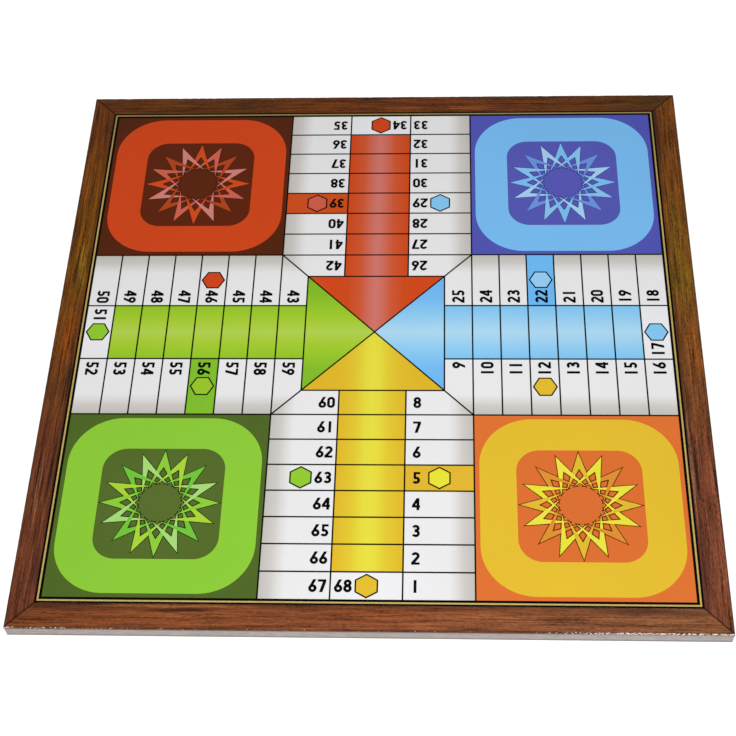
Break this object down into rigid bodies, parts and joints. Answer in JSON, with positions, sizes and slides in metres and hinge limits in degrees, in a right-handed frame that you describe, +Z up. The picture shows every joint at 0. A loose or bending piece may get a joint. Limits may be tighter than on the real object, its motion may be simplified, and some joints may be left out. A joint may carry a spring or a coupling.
{
  "type": "ludo board",
  "caption": "Flat square ludo board with a mitred wood-grain frame, corner homes, a numbered cross-shaped track, coloured finish lanes and a central goal.",
  "frame": {"origin": "centre of the underside, on the surface that the board lies on", "axes": "+Z up through the playing face, +X to the front player's right, +Y away from the front player"},
  "size_m": [0.4, 0.4, 0.01],
  "materials": {
    "backing_paper": "plain uncoated paper",
    "grey_board": "pressed grey board with cut edges",
    "white_card": "smooth coated white card",
    "frame_wood": "reddish brown wood grain under satin varnish",
    "black_print": "black ink under satin varnish",
    "gold_print": "gold ink under satin varnish",
    "white_print": "white to pale grey ink under satin varnish",
    "yellow_home_ground_print": "yellow side's ink under satin varnish",
    "blue_home_ground_print": "blue side's ink under satin varnish",
    "red_home_ground_print": "red side's ink under satin varnish",
    "green_home_ground_print": "green side's ink under satin varnish",
    "yellow_home_band_print": "yellow side's ink under satin varnish",
    "blue_home_band_print": "blue side's ink under satin varnish",
    "red_home_band_print": "red side's ink under satin varnish",
    "green_home_band_print": "green side's ink under satin varnish",
    "yellow_home_star_print": "yellow side's ink under satin varnish",
    "blue_home_star_print": "blue side's ink under satin varnish",
    "red_home_star_print": "red side's ink under satin varnish",
    "green_home_star_print": "green side's ink under satin varnish",
    "yellow_finish_lane_print": "yellow side's ink under satin varnish",
    "blue_finish_lane_print": "blue side's ink under satin varnish",
    "red_finish_lane_print": "red side's ink under satin varnish",
    "green_finish_lane_print": "green side's ink under satin varnish",
    "yellow_start_space_print": "yellow side's ink under satin varnish",
    "blue_start_space_print": "blue side's ink under satin varnish",
    "red_start_space_print": "red side's ink under satin varnish",
    "green_start_space_print": "green side's ink under satin varnish",
    "yellow_start_hexagon_print": "yellow side's ink under satin varnish",
    "blue_start_hexagon_print": "blue side's ink under satin varnish",
    "red_start_hexagon_print": "red side's ink under satin varnish",
    "green_start_hexagon_print": "green side's ink under satin varnish",
    "yellow_safe_hexagons_print": "yellow side's ink under satin varnish",
    "blue_safe_hexagons_print": "blue side's ink under satin varnish",
    "red_safe_hexagons_print": "red side's ink under satin varnish",
    "green_safe_hexagons_print": "green side's ink under satin varnish"
  },
  "bodies": {
    "root": {"backing_sheet": "backing_paper", "lower_core_ply": "grey_board", "upper_core_ply": "grey_board", "playing_card": "white_card", "front_frame_strip": "frame_wood", "right_frame_strip": "frame_wood", "back_frame_strip": "frame_wood", "left_frame_strip": "frame_wood", "black_border": "black_print", "gold_line": "gold_print", "white_spaces": "white_print", "grid_lines": "black_print", "hexagon_outlines": "black_print", "yellow_home_ground": "yellow_home_ground_print", "blue_home_ground": "blue_home_ground_print", "red_home_ground": "red_home_ground_print", "green_home_ground": "green_home_ground_print", "yellow_home_band": "yellow_home_band_print", "blue_home_band": "blue_home_band_print", "red_home_band": "red_home_band_print", "green_home_band": "green_home_band_print", "yellow_home_star": "yellow_home_star_print", "blue_home_star": "blue_home_star_print", "red_home_star": "red_home_star_print", "green_home_star": "green_home_star_print", "yellow_finish_lane": "yellow_finish_lane_print", "blue_finish_lane": "blue_finish_lane_print", "red_finish_lane": "red_finish_lane_print", "green_finish_lane": "green_finish_lane_print", "yellow_start_space": "yellow_start_space_print", "blue_start_space": "blue_start_space_print", "red_start_space": "red_start_space_print", "green_start_space": "green_start_space_print", "yellow_start_hexagon": "yellow_start_hexagon_print", "blue_start_hexagon": "blue_start_hexagon_print", "red_start_hexagon": "red_start_hexagon_print", "green_start_hexagon": "green_start_hexagon_print", "yellow_safe_hexagons": "yellow_safe_hexagons_print", "blue_safe_hexagons": "blue_safe_hexagons_print", "red_safe_hexagons": "red_safe_hexagons_print", "green_safe_hexagons": "green_safe_hexagons_print", "front_numerals": "black_print", "right_numerals": "black_print", "back_numerals": "black_print", "left_numerals": "black_print"}
  },
  "joints": []
}
